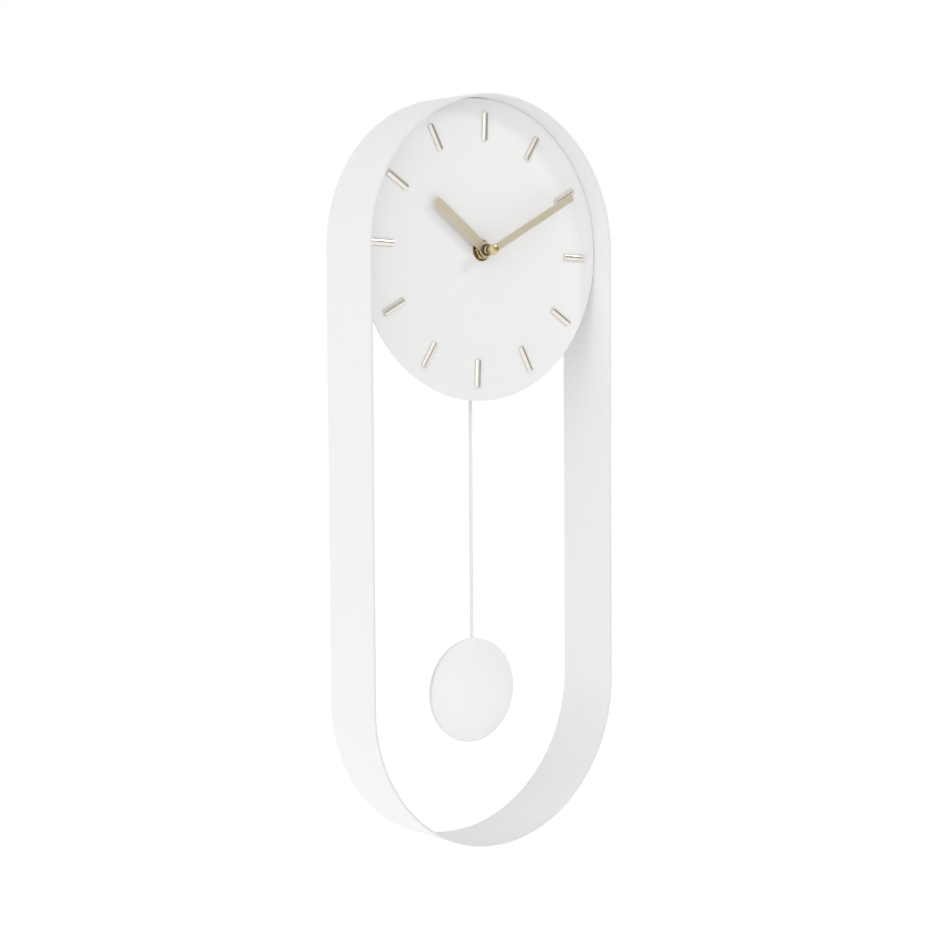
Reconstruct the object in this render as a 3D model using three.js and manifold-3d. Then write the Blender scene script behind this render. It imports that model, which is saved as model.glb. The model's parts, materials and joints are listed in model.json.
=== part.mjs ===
// Pendulum wall clock: a sheet-metal stadium band, a round dial with bar markers, a quartz
// movement with its gear train and pendulum drive, two hands, and a rod with a disc bob.
// Millimetres. +X is right as seen from the front, +Y goes back to the wall, +Z is up.
// The origin is the nail on the wall plane (Y = 0) that carries the hanger.
import * as THREE from 'three';
import { mergeVertices } from 'three/addons/utils/BufferGeometryUtils.js';
import Module from 'manifold-3d';

const wasm = await Module();
wasm.setup();

// ---------------------------------------------------------------- driving dimensions
const GAP = 0.3;                    // clearance between two pieces that rest on each other
const PAST = 1;                     // how far a cutting tool runs past the face it cuts
const NAIL_RISE = 40;               // the nail above the dial's centre
const DIAL_Z = -NAIL_RISE;

const BAND_RADIUS = 100;
const BAND_HEIGHT = 490;
const BAND_DEPTH = 48;
const BAND_SHEET = 1.5;
const BAND_STRAIGHT = BAND_HEIGHT - 2 * BAND_RADIUS;

const DIAL_RADIUS = 98.2;
const DIAL_FRONT = -32.5;
const DIAL_SHEET = 1.2;
const DIAL_BACK = DIAL_FRONT + DIAL_SHEET;
const DIAL_EDGE_ROUND = 0.5;
const BUSH_HOLE = 4.4;

const MARKER_COUNT = 12;
const MARKER_MEAN_RADIUS = 80.2;
const MARKER_LENGTH = 17.6;
const MARKER_WIDTH = 4.6;
const MARKER_PROUD = 1.8;
const MARKER_TURN = 2.5;            // the ring of markers sits slightly clockwise

const HAND_SHEET = 0.8;
const HOUR_PLANE = -37;
const MINUTE_PLANE = -45;
const HOUR_HAND = {
  angle: -52.5,                     // clockwise from 12, seen from the front
  length: 51.6, hub: 4.8, bore: 2.9, rootHalf: 3.6, tipHalf: 3.4, roundTip: true,
};
const MINUTE_HAND = {
  angle: 62,
  length: 77.1, hub: 3.7, bore: 1.7, rootHalf: 2.4, tipHalf: 2.5, roundTip: false,
};
const HOUR_COLLET_RADIUS = 3.9;
const MINUTE_COLLET_RADIUS = 3.4;
const MINUTE_COLLET_LENGTH = 2.9;
const CAP_RADIUS = 3.4;
const CAP_DEPTH = 2;
const CAP_ROUND = 1.1;
const ARBOR_BORE = 1.6;             // the hour wheel's and centre wheel's bore
const MINUTE_ARBOR_RADIUS = 1.4;
const HOUR_PIPE_RADIUS = 2.6;

const CASE_HALF = 28.5;
const CASE_TOP = 28.5;
const CASE_BOTTOM = -68;
const CASE_WALL = 1.4;
const CASE_FRONT = -28.6;
const CASE_BACK = -8.2;
const LEVEL_THICK = 1.2;
const LEVEL_PITCH = 1.7;
const FIRST_LEVEL = -26.8;
const BRIDGE_FRONT = -14.1;
const BRIDGE_BACK = -13.3;

const MODULE = 0.35;
const ADDENDUM = 0.75;
const DEDENDUM = 1.15;
const TOOTH_ROOT_SHARE = 0.24;      // half a tooth's width at its root and tip, in pitches
const TOOTH_TIP_SHARE = 0.1;
const ARBOR = 0.6;
const PIVOT_HOLE = 0.75;

const BATTERY_RADIUS = 7.1;
const BATTERY_HALF = 24.2;
const BATTERY_NUB_RADIUS = 2.6;
const BATTERY_NUB = 1.2;
const BATTERY_Y = -18.2;
const BATTERY_Z = -21.5;

const PIVOT_Z = -36;                // pendulum pivot below the dial's centre
const SWING_PLANE = -20;
const ARM_HOOK_Z = -76;
const ROD_RADIUS = 1.2;
const BOB_Z = -290.5;
const BOB_RADIUS = 34.5;
const BOB_CROWN = 5.5;
const BOB_CROWN_POWER = 0.75;       // 0.5 is an ellipse and 1 a parabola
const BOB_RIM = 1.2;
const BOB_WALL = 1;

// ---------------------------------------------------------------- helpers
const rad = THREE.MathUtils.degToRad;
const clock = new THREE.Group();
const FINISH = {
  whitePaint: { color: 0xf2f2f0, roughness: 0.45, metalness: 0 },
  champagne: { color: 0xcdc3a5, roughness: 0.35, metalness: 0.9 },
  brass: { color: 0xc9a24e, roughness: 0.3, metalness: 1 },
  steel: { color: 0xb8babd, roughness: 0.35, metalness: 1 },
  blackPlastic: { color: 0x1c1c1e, roughness: 0.55, metalness: 0 },
  gearPlastic: { color: 0xe8e4d4, roughness: 0.5, metalness: 0 },
  rubber: { color: 0x151515, roughness: 0.9, metalness: 0 },
  copper: { color: 0xb4673a, roughness: 0.4, metalness: 0.8 },
  board: { color: 0x2f6b3c, roughness: 0.6, metalness: 0 },
  battery: { color: 0x3a4a66, roughness: 0.4, metalness: 0.3 },
};

// Signed volume tells whether the faces point outwards.
function signedVolume(geometry) {
  const p = geometry.attributes.position;
  const index = geometry.index.array;
  const a = new THREE.Vector3();
  const b = new THREE.Vector3();
  const c = new THREE.Vector3();
  let sum = 0;
  for (let i = 0; i < index.length; i += 3) {
    a.fromBufferAttribute(p, index[i]);
    b.fromBufferAttribute(p, index[i + 1]);
    c.fromBufferAttribute(p, index[i + 2]);
    sum += a.dot(b.cross(c));
  }
  return sum / 6;
}

// Shared vertices merged, collapsed triangles at a pole dropped, faces turned outwards.
function weld(source) {
  const bare = source.clone();
  bare.deleteAttribute('normal');
  bare.deleteAttribute('uv');
  const merged = mergeVertices(bare, 1e-4);
  const old = merged.index.array;
  const kept = [];
  for (let i = 0; i < old.length; i += 3) {
    const [a, b, c] = [old[i], old[i + 1], old[i + 2]];
    if (a !== b && b !== c && c !== a) {
      kept.push(a, b, c);
    }
  }
  merged.setIndex(kept);
  if (signedVolume(merged) < 0) {
    for (let i = 0; i < kept.length; i += 3) {
      [kept[i + 1], kept[i + 2]] = [kept[i + 2], kept[i + 1]];
    }
    merged.setIndex(kept);
  }
  return merged;
}

function solid(geometry) {
  const welded = weld(geometry);
  const vertProperties = new Float32Array(welded.attributes.position.array);
  const triVerts = new Uint32Array(welded.index.array);
  return new wasm.Manifold(new wasm.Mesh({ numProp: 3, vertProperties, triVerts }));
}

function geometryOf(manifold) {
  const mesh = manifold.getMesh();
  const geometry = new THREE.BufferGeometry();
  geometry.setAttribute('position', new THREE.BufferAttribute(mesh.vertProperties, 3));
  geometry.setIndex(new THREE.BufferAttribute(mesh.triVerts, 1));
  return geometry;
}

function join(...geometries) {
  return geometryOf(geometries.map(solid).reduce((whole, next) => whole.add(next)));
}

function cut(body, ...tools) {
  return geometryOf(tools.map(solid).reduce((whole, tool) => whole.subtract(tool), solid(body)));
}

function add(name, geometry, finish) {
  const mesh = new THREE.Mesh(weld(geometry), new THREE.MeshStandardMaterial(FINISH[finish]));
  mesh.name = name;
  clock.add(mesh);
}

// A flat outline drawn in X and Z, as thick as the span from front to back.
function slab(shape, front, back, curveSegments = 12) {
  const options = { depth: back - front, bevelEnabled: false, curveSegments };
  const geometry = new THREE.ExtrudeGeometry(shape, options);
  geometry.rotateX(Math.PI / 2);
  geometry.translate(0, back, 0);
  return geometry;
}

// A block between two corners given as [x, y, z].
function block(low, high) {
  const size = high.map((value, i) => value - low[i]);
  const geometry = new THREE.BoxGeometry(...size);
  geometry.translate(...low.map((value, i) => value + size[i] / 2));
  return geometry;
}

// A turned piece: closed profile of [radius, y] about the Y axis, moved to x, z.
function turned(profile, x = 0, z = 0, segments = 20) {
  const points = profile.map(([r, y]) => new THREE.Vector2(r, y));
  const geometry = new THREE.LatheGeometry(points, segments);
  geometry.translate(x, 0, z);
  return geometry;
}

function rod(radius, front, back, x = 0, z = 0, segments = 16) {
  return turned([[0, front], [radius, front], [radius, back], [0, back]], x, z, segments);
}

function ring(inner, outer, front, back, x = 0, z = 0, segments = 24) {
  const profile = [[inner, front], [outer, front], [outer, back], [inner, back], [inner, front]];
  return turned(profile, x, z, segments);
}

function stadium(radius, straight, path = new THREE.Shape()) {
  path.absarc(0, straight / 2, radius, 0, Math.PI, false);
  path.absarc(0, -straight / 2, radius, Math.PI, 2 * Math.PI, false);
  path.closePath();
  return path;
}

function hexNut(acrossFlats, bore, front, back, x = 0, z = 0) {
  const shape = new THREE.Shape();
  for (let i = 0; i < 6; i += 1) {
    const angle = i * Math.PI / 3;
    const corner = acrossFlats / Math.sqrt(3);
    const step = i === 0 ? 'moveTo' : 'lineTo';
    shape[step](corner * Math.cos(angle), corner * Math.sin(angle));
  }
  shape.holes.push(new THREE.Path().absarc(0, 0, bore, 0, 2 * Math.PI, true));
  const geometry = slab(shape, front, back, 10);
  geometry.translate(x, 0, z);
  return geometry;
}

// ---------------------------------------------------------------- gears
const level = (n) => FIRST_LEVEL + (n - 1) * LEVEL_PITCH;

// A spur gear with straight-flanked teeth; phase is the angle of one tooth's middle.
function gear(teeth, module, phase, n, axis) {
  const shape = new THREE.Shape();
  const pitch = 2 * Math.PI / teeth;
  const tip = module * (teeth / 2 + ADDENDUM);
  const root = module * (teeth / 2 - DEDENDUM);
  for (let i = 0; i < teeth; i += 1) {
    const middle = phase + i * pitch;
    const corners = [
      [root, -TOOTH_ROOT_SHARE], [tip, -TOOTH_TIP_SHARE],
      [tip, TOOTH_TIP_SHARE], [root, TOOTH_ROOT_SHARE],
    ];
    corners.forEach(([r, share], k) => {
      const angle = middle + share * pitch;
      const step = i === 0 && k === 0 ? 'moveTo' : 'lineTo';
      shape[step](r * Math.cos(angle), r * Math.sin(angle));
    });
  }
  const geometry = slab(shape, level(n), level(n) + LEVEL_THICK);
  geometry.translate(axis.x, 0, axis.z);
  return geometry;
}

// The phase that puts a gap of the second gear opposite a tooth of the first.
function meshPhase(teethA, phaseA, teethB, direction) {
  const share = (direction - phaseA) * teethA / (2 * Math.PI);
  return direction + Math.PI - (0.5 - share) * 2 * Math.PI / teethB;
}

function beside(axis, direction, distance) {
  return {
    x: axis.x + distance * Math.cos(direction),
    z: axis.z + distance * Math.sin(direction),
  };
}

const spacing = (a, b, module = MODULE) => module * (a + b) / 2;

const TEETH = {
  centreWheel: 64, thirdPinion: 8, thirdWheel: 60, transferPinion: 8, transferWheel: 60,
  stepPinion: 10, stepWheel: 60, rotorPinion: 12,
  cannonPinion: 12, reductionWheel: 36, reductionPinion: 10, hourWheel: 40, knobGear: 20,
};
const TO_THIRD = rad(40);
const TO_TRANSFER = rad(165);
const TO_STEP = rad(170);
const TO_ROTOR = rad(30);
const TO_REDUCTION = rad(200);
const TO_KNOB = rad(190);

const centre = { x: 0, z: 0 };
const third = beside(centre, TO_THIRD, spacing(TEETH.centreWheel, TEETH.thirdPinion));
const transfer = beside(third, TO_TRANSFER, spacing(TEETH.thirdWheel, TEETH.transferPinion));
const stepAxis = beside(transfer, TO_STEP, spacing(TEETH.transferWheel, TEETH.stepPinion));
const rotor = beside(stepAxis, TO_ROTOR, spacing(TEETH.stepWheel, TEETH.rotorPinion));
const MOTION_SPACING = spacing(TEETH.cannonPinion, TEETH.reductionWheel);
const reduction = beside(centre, TO_REDUCTION, MOTION_SPACING);
const knob = beside(reduction, TO_KNOB, spacing(TEETH.reductionWheel, TEETH.knobGear));
const HOUR_MODULE = 2 * MOTION_SPACING / (TEETH.reductionPinion + TEETH.hourWheel);

const thirdPhase = meshPhase(TEETH.centreWheel, 0, TEETH.thirdPinion, TO_THIRD);
const transferPhase = meshPhase(TEETH.thirdWheel, 0, TEETH.transferPinion, TO_TRANSFER);
const stepPhase = meshPhase(TEETH.transferWheel, 0, TEETH.stepPinion, TO_STEP);
const rotorPhase = meshPhase(TEETH.stepWheel, 0, TEETH.rotorPinion, TO_ROTOR);
const cannonPhase = 0;
const reductionPhase = meshPhase(
  TEETH.cannonPinion, cannonPhase, TEETH.reductionWheel, TO_REDUCTION);
const hourPhase = meshPhase(TEETH.reductionPinion, 0, TEETH.hourWheel, TO_REDUCTION + Math.PI);
const knobPhase = meshPhase(TEETH.reductionWheel, reductionPhase, TEETH.knobGear, TO_KNOB);

const CASE_INNER_FRONT = CASE_FRONT + CASE_WALL;
const ARBOR_FRONT = CASE_INNER_FRONT + GAP;

// ---------------------------------------------------------------- band and dial
// The band's upper half-round shares the dial's centre.
function makeBand() {
  const outline = stadium(BAND_RADIUS, BAND_STRAIGHT);
  outline.holes.push(stadium(BAND_RADIUS - BAND_SHEET, BAND_STRAIGHT, new THREE.Path()));
  const band = slab(outline, -BAND_DEPTH, 0, 36);
  band.translate(0, 0, -BAND_STRAIGHT / 2);
  add('band', band, 'whitePaint');
}

const BRACKETS = { right: 0, top: 90, left: 180 };
const STUD_RADIUS_FROM_CENTRE = 90;
const STUD = 1.2;
const STUD_END = -26.5;

function studAt(angle) {
  return beside(centre, rad(angle), STUD_RADIUS_FROM_CENTRE);
}

function makeDial() {
  const disc = turned([
    [BUSH_HOLE, DIAL_FRONT],
    [DIAL_RADIUS - DIAL_EDGE_ROUND, DIAL_FRONT],
    [DIAL_RADIUS, DIAL_FRONT + DIAL_EDGE_ROUND],
    [DIAL_RADIUS, DIAL_BACK],
    [BUSH_HOLE, DIAL_BACK],
    [BUSH_HOLE, DIAL_FRONT],
  ], 0, 0, 72);
  const studs = Object.values(BRACKETS).map((angle) => {
    const at = studAt(angle);
    return rod(STUD, DIAL_BACK - DIAL_SHEET / 2, STUD_END, at.x, at.z, 12);
  });
  add('dial_plate', join(disc, ...studs), 'whitePaint');
}

// An angle bracket: one leg behind the dial, the other along the inside of the band.
function makeBrackets() {
  const half = 6;
  const inner = 84;
  const sheet = 1.2;
  const bandLegLength = 14;
  const nutFlats = 5;
  const nutHeight = 1.8;
  const outer = BAND_RADIUS - BAND_SHEET - 2 * GAP;
  const front = DIAL_BACK + GAP;
  const legBack = front + sheet;
  for (const [side, angle] of Object.entries(BRACKETS)) {
    const dialLeg = block([inner, front, -half], [outer, legBack, half]);
    const bandLeg = block([outer - sheet, front, -half], [outer, front + bandLegLength, half]);
    const hole = rod(STUD + GAP, front - PAST, legBack + PAST, STUD_RADIUS_FROM_CENTRE, 0, 12);
    const bracket = cut(join(dialLeg, bandLeg), hole);
    bracket.rotateY(-rad(angle));
    add(`dial_bracket_${side}`, bracket, 'steel');
    const at = studAt(angle);
    const nutFront = legBack + GAP;
    const nut = hexNut(nutFlats, STUD + GAP, nutFront, nutFront + nutHeight, at.x, at.z);
    add(`bracket_nut_${side}`, nut, 'steel');
  }
}

// A bar marker: a low half-round section, laid along the dial's radius.
function makeMarkers() {
  const back = DIAL_FRONT - GAP;
  for (let hour = 1; hour <= MARKER_COUNT; hour += 1) {
    const section = new THREE.Shape();
    section.absellipse(0, 0, MARKER_WIDTH / 2, MARKER_PROUD - GAP, 0, Math.PI, false, 0);
    section.closePath();
    const options = { depth: MARKER_LENGTH, bevelEnabled: false, curveSegments: 6 };
    const bar = new THREE.ExtrudeGeometry(section, options);
    bar.rotateX(Math.PI);
    bar.translate(0, back, MARKER_MEAN_RADIUS + MARKER_LENGTH / 2);
    bar.rotateY(rad(hour * 360 / MARKER_COUNT + MARKER_TURN));
    add(`marker_${String(hour).padStart(2, '0')}`, bar, 'champagne');
  }
}

// ---------------------------------------------------------------- movement case
const BUSH_OUTER = 4;
const BUSH_INNER = 3;
const BUSH_END = -36.1;
const SLOT_HALF = 10;
const SLOT_DEPTH = 4;               // each way from the plane of the swing
const PILLAR = 1.2;
const KNOB_HOLE = 2.2;
const KNOB_PASS = 1.8;
const BATTERY_WINDOW = [26.5, 7.4]; // half its width and half its height
const BRIDGE_LOW = [-24, -11];
const BRIDGE_HIGH = [24, 26.6];
const BRIDGE_PILLARS = [[22.5, 25.4], [-22.5, 25.4], [22.5, -9], [-22.7, -9.5]];

function makeCase() {
  const shell = block([-CASE_HALF, CASE_FRONT, CASE_BOTTOM],
    [CASE_HALF, CASE_BACK - CASE_WALL - GAP, CASE_TOP]);
  const hollow = block(
    [-CASE_HALF + CASE_WALL, CASE_INNER_FRONT, CASE_BOTTOM + CASE_WALL],
    [CASE_HALF - CASE_WALL, 0, CASE_TOP - CASE_WALL]);
  const slot = block([-SLOT_HALF, SWING_PLANE - SLOT_DEPTH, CASE_BOTTOM - PAST],
    [SLOT_HALF, SWING_PLANE + SLOT_DEPTH, CASE_BOTTOM + CASE_WALL + PAST]);
  const bushHole = rod(BUSH_HOLE, CASE_FRONT - PAST, CASE_INNER_FRONT + PAST, 0, 0, 24);
  const pillars = BRIDGE_PILLARS.map(([x, z]) => (
    rod(PILLAR, CASE_FRONT + CASE_WALL / 2, BRIDGE_FRONT - GAP, x, z, 12)));
  add('movement_housing', join(cut(shell, hollow, slot, bushHole), ...pillars), 'blackPlastic');
  add('threaded_bush', ring(BUSH_INNER, BUSH_OUTER, BUSH_END, CASE_INNER_FRONT), 'brass');

  const cover = block([-CASE_HALF, CASE_BACK - CASE_WALL, CASE_BOTTOM],
    [CASE_HALF, CASE_BACK, CASE_TOP]);
  const coverFront = CASE_BACK - CASE_WALL - PAST;
  const knobHole = rod(KNOB_HOLE, coverFront, CASE_BACK + PAST, knob.x, knob.z, 20);
  const [wellHalf, wellRise] = BATTERY_WINDOW;
  const batteryWell = block([-wellHalf, coverFront, BATTERY_Z - wellRise],
    [wellHalf, CASE_BACK + PAST, BATTERY_Z + wellRise]);
  add('movement_cover', cut(cover, knobHole, batteryWell), 'blackPlastic');

  const bridge = block([BRIDGE_LOW[0], BRIDGE_FRONT, BRIDGE_LOW[1]],
    [BRIDGE_HIGH[0], BRIDGE_BACK, BRIDGE_HIGH[1]]);
  const through = (radius, at) => (
    rod(radius, BRIDGE_FRONT - PAST, BRIDGE_BACK + PAST, at.x, at.z, 16));
  const holes = [third, transfer, stepAxis, rotor].map((at) => through(PIVOT_HOLE, at));
  const knobPass = through(KNOB_PASS, knob);
  add('train_bridge', cut(bridge, ...holes, knobPass), 'gearPlastic');
}

// The hanger: a steel strip clamped at the bushing, bent back over the case to the nail.
const HANGER_FRONT = DIAL_BACK + GAP;
const HANGER_SHEET = 1;
const HANGER_HALF = 9;
const HANGER_REAR = -3;
const HANGER_FOOT = -12;
const HANGER_ABOVE_CASE = 2.5;
const HANGER_ABOVE_NAIL = 8;
const EYE_RADIUS = 4.5;
const EYE_CENTRE = NAIL_RISE - 2;   // the nail lies in the upper part of the eye
const EYE_LIFT = 2.4;               // the eye's lower edge above the shelf's underside

function makeHanger() {
  const top = CASE_TOP + HANGER_ABOVE_CASE;
  const rearFront = HANGER_REAR - HANGER_SHEET;
  const front = block([-HANGER_HALF, HANGER_FRONT, HANGER_FOOT],
    [HANGER_HALF, HANGER_FRONT + HANGER_SHEET, top + HANGER_SHEET]);
  const shelf = block([-HANGER_HALF, HANGER_FRONT, top],
    [HANGER_HALF, HANGER_REAR, top + HANGER_SHEET]);
  const rear = block([-HANGER_HALF, rearFront, top],
    [HANGER_HALF, HANGER_REAR, NAIL_RISE + HANGER_ABOVE_NAIL]);
  const bushHole = rod(BUSH_HOLE, HANGER_FRONT - PAST, HANGER_FRONT + HANGER_SHEET + PAST,
    0, 0, 24);
  const eye = new THREE.Shape();
  eye.absarc(0, EYE_CENTRE, EYE_RADIUS, 0, Math.PI, false);
  eye.lineTo(-EYE_RADIUS, top + EYE_LIFT);
  eye.lineTo(EYE_RADIUS, top + EYE_LIFT);
  eye.closePath();
  const eyeHole = slab(eye, rearFront - PAST, HANGER_REAR + PAST);
  add('hanger_plate', cut(join(front, shelf, rear), bushHole, eyeHole), 'steel');
}

const RUBBER_RADIUS = 9;
const WASHER_RADIUS = 7;
const WASHER_SHEET = 0.5;
const NUT_FLATS = 11;
const NUT_HEIGHT = 1.9;

function makeFixings() {
  const hangerBack = HANGER_FRONT + HANGER_SHEET;
  add('rubber_washer', ring(BUSH_HOLE, RUBBER_RADIUS, hangerBack + GAP, CASE_FRONT - GAP),
    'rubber');
  const washerBack = DIAL_FRONT - GAP;
  const washerFront = washerBack - WASHER_SHEET;
  add('brass_washer', ring(BUSH_HOLE, WASHER_RADIUS, washerFront, washerBack), 'brass');
  const nutBack = washerFront - GAP;
  add('fixing_nut', hexNut(NUT_FLATS, BUSH_HOLE, nutBack - NUT_HEIGHT, nutBack), 'brass');
}

// ---------------------------------------------------------------- gear train
// A wheel on one level, its pinion on the level in front, and the arbor with its pivots.
function compound(name, wheelTeeth, pinionTeeth, pinionPhase, n, axis, arborFront = ARBOR_FRONT) {
  const parts = [
    gear(wheelTeeth, MODULE, 0, n, axis),
    gear(pinionTeeth, MODULE, pinionPhase, n - 1, axis),
    rod(ARBOR, arborFront, BRIDGE_BACK, axis.x, axis.z),
  ];
  add(name, join(...parts), 'gearPlastic');
}

const ARBOR_CLEAR = 0.2;            // an arbor's end, in front of the face of its pinion
const ROTOR_MAGNET_RADIUS = 2.6;
const ROTOR_MAGNET_LENGTH = 2;

function makeTrain() {
  const bore = rod(ARBOR_BORE, level(3) - PAST, level(3) + LEVEL_THICK + PAST, 0, 0);
  add('centre_wheel', cut(gear(TEETH.centreWheel, MODULE, 0, 3, centre), bore), 'gearPlastic');
  compound('third_wheel', TEETH.thirdWheel, TEETH.thirdPinion, thirdPhase, 4, third);
  // This arbor stands behind the rim of the centre wheel, so it starts behind that wheel.
  compound('transfer_wheel', TEETH.transferWheel, TEETH.transferPinion, transferPhase, 5, transfer,
    level(4) - ARBOR_CLEAR);
  compound('step_wheel', TEETH.stepWheel, TEETH.stepPinion, stepPhase, 6, stepAxis);
  const magnetFront = level(7);
  add('rotor', join(
    gear(TEETH.rotorPinion, MODULE, rotorPhase, 6, rotor),
    rod(ARBOR, level(6) - ARBOR_CLEAR, BRIDGE_BACK, rotor.x, rotor.z),
    rod(ROTOR_MAGNET_RADIUS, magnetFront, magnetFront + ROTOR_MAGNET_LENGTH,
      rotor.x, rotor.z, 20),
  ), 'steel');
}

const ARBOR_PROUD = 1.6;            // the minute arbor's end, in front of the minute hand
const HOUR_PIPE_PROUD = 2;          // the hour pipe's end, in front of the hour hand
const KNOB_ARBOR = 1.5;
const KNOB_RADIUS = 5;
const KNOB_LENGTH = 3.2;

function makeMotionWork() {
  add('minute_arbor', join(
    rod(MINUTE_ARBOR_RADIUS, MINUTE_PLANE - ARBOR_PROUD, level(3) + LEVEL_THICK + GAP, 0, 0, 20),
    gear(TEETH.cannonPinion, MODULE, cannonPhase, 2, centre),
  ), 'brass');
  const hourBlank = join(
    gear(TEETH.hourWheel, HOUR_MODULE, hourPhase, 1, centre),
    rod(HOUR_PIPE_RADIUS, HOUR_PLANE - HOUR_PIPE_PROUD, level(1) + LEVEL_THICK / 2, 0, 0, 20),
  );
  const hourBore = rod(ARBOR_BORE, HOUR_PLANE - HOUR_PIPE_PROUD - PAST,
    level(1) + LEVEL_THICK + PAST, 0, 0, 20);
  add('hour_wheel', cut(hourBlank, hourBore), 'gearPlastic');
  add('reduction_wheel', join(
    gear(TEETH.reductionWheel, MODULE, reductionPhase, 2, reduction),
    gear(TEETH.reductionPinion, HOUR_MODULE, 0, 1, reduction),
    rod(ARBOR, ARBOR_FRONT, level(2) + LEVEL_THICK + GAP, reduction.x, reduction.z),
  ), 'gearPlastic');
  add('setting_knob', join(
    gear(TEETH.knobGear, MODULE, knobPhase, 2, knob),
    rod(KNOB_ARBOR, level(2), CASE_BACK + GAP + KNOB_LENGTH / 2, knob.x, knob.z),
    rod(KNOB_RADIUS, CASE_BACK + GAP, CASE_BACK + GAP + KNOB_LENGTH, knob.x, knob.z, 20),
  ), 'blackPlastic');
}

// ---------------------------------------------------------------- electrics
function makeBattery() {
  const lengthwise = (geometry) => {
    geometry.rotateZ(-Math.PI / 2);
    geometry.translate(0, BATTERY_Y, BATTERY_Z);
    return geometry;
  };
  const contactSheet = 0.5;
  const contactHalf = 5;
  const nub = BATTERY_HALF + BATTERY_NUB;
  add('battery', lengthwise(turned([
    [0, -BATTERY_HALF], [BATTERY_RADIUS, -BATTERY_HALF], [BATTERY_RADIUS, BATTERY_HALF],
    [BATTERY_NUB_RADIUS, BATTERY_HALF], [BATTERY_NUB_RADIUS, nub], [0, nub],
  ], 0, 0, 24)), 'battery');
  const contact = (name, from) => add(name, block(
    [from, BATTERY_Y - contactHalf, BATTERY_Z - contactHalf],
    [from + contactSheet, BATTERY_Y + contactHalf, BATTERY_Z + contactHalf],
  ), 'steel');
  contact('battery_contact_positive', nub + GAP);
  contact('battery_contact_negative', -BATTERY_HALF - GAP - contactSheet);
}

// The board lies behind the bridge, with the crystal lying on it.
const BOARD = { left: 4, right: 25, low: -10, high: 9, front: -12.6, back: -11.6 };
const CRYSTAL = { left: 10, right: 16, low: 2, high: 5, thick: 1.3 };

function makeBoard() {
  add('circuit_board', block([BOARD.left, BOARD.front, BOARD.low],
    [BOARD.right, BOARD.back, BOARD.high]), 'board');
  const crystalFront = BOARD.back + GAP;
  add('quartz_crystal', block([CRYSTAL.left, crystalFront, CRYSTAL.low],
    [CRYSTAL.right, crystalFront + CRYSTAL.thick, CRYSTAL.high]), 'steel');
}

// The stator is a frame round the rotor, and the winding is wrapped round its upper leg.
const STATOR = { sheet: 1, left: 6, right: 24, half: 4.2, windowLeft: 9, windowRight: 22 };
const STATOR_LEG_LOW = 2;
const STATOR_WINDOW_LOW = -1.8;
const ROTOR_HOLE = 3.2;
const COIL_WALL = 1.1;
const COIL_BACK_WALL = 0.8;         // thinner, to clear the bridge
const COIL_LEFT = 10;
const COIL_RIGHT = 21;

function makeStepper() {
  const front = level(7);
  const back = front + STATOR.sheet;
  const legLow = rotor.z + STATOR_LEG_LOW;
  const legHigh = rotor.z + STATOR.half;
  const plate = block([rotor.x - STATOR.left, front, rotor.z - STATOR.half],
    [STATOR.right, back, legHigh]);
  const window = block([STATOR.windowLeft, front - PAST, rotor.z + STATOR_WINDOW_LOW],
    [STATOR.windowRight, back + PAST, legLow]);
  const rotorHole = rod(ROTOR_HOLE, front - PAST, back + PAST, rotor.x, rotor.z, 24);
  add('stator', cut(plate, rotorHole, window), 'steel');
  const winding = block([COIL_LEFT, front - GAP - COIL_WALL, legLow - GAP - COIL_WALL],
    [COIL_RIGHT, back + GAP + COIL_BACK_WALL, legHigh + GAP + COIL_WALL]);
  const legPass = block([COIL_LEFT - PAST, front - GAP, legLow - GAP],
    [COIL_RIGHT + PAST, back + GAP, legHigh + GAP]);
  add('stepper_coil', cut(winding, legPass), 'copper');
}

// ---------------------------------------------------------------- hands
// A flat bar hand: round hub with a bore, tapering blade pointing along +Z before its turn.
function handShape({ length, hub, bore, rootHalf, tipHalf, roundTip }) {
  const shape = new THREE.Shape();
  const start = Math.asin(rootHalf / hub);
  shape.absarc(0, 0, hub, Math.PI / 2 + start, Math.PI / 2 - start + 2 * Math.PI, false);
  if (roundTip) {
    shape.absarc(0, length - tipHalf, tipHalf, 0, Math.PI, false);
  } else {
    shape.lineTo(tipHalf, length);
    shape.lineTo(-tipHalf, length);
  }
  shape.closePath();
  shape.holes.push(new THREE.Path().absarc(0, 0, bore, 0, 2 * Math.PI, true));
  return shape;
}

function makeHand(name, hand, plane) {
  const blade = slab(handShape(hand), plane - HAND_SHEET / 2, plane + HAND_SHEET / 2);
  blade.rotateY(rad(hand.angle));
  add(name, blade, 'champagne');
}

// The hour hand's collet is in front of it, and the minute hand's is behind it.
function makeHands() {
  const half = HAND_SHEET / 2;
  makeHand('hour_hand', HOUR_HAND, HOUR_PLANE);
  makeHand('minute_hand', MINUTE_HAND, MINUTE_PLANE);
  add('hour_collet', ring(HOUR_HAND.bore, HOUR_COLLET_RADIUS,
    HOUR_PLANE - HOUR_PIPE_PROUD, HOUR_PLANE - half - GAP), 'brass');
  const colletFront = MINUTE_PLANE + half + GAP;
  add('minute_collet', ring(MINUTE_HAND.bore, MINUTE_COLLET_RADIUS,
    colletFront, colletFront + MINUTE_COLLET_LENGTH), 'brass');
  const back = MINUTE_PLANE - half - GAP;
  const front = back - CAP_DEPTH;
  const inside = front + CAP_DEPTH - ARBOR_PROUD + half;
  add('cap_nut', turned([
    [0, front], [CAP_RADIUS - CAP_ROUND, front + GAP], [CAP_RADIUS, front + CAP_ROUND],
    [CAP_RADIUS, back], [MINUTE_HAND.bore, back], [MINUTE_HAND.bore, inside], [0, inside],
  ], 0, 0, 28), 'brass');
}

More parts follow.
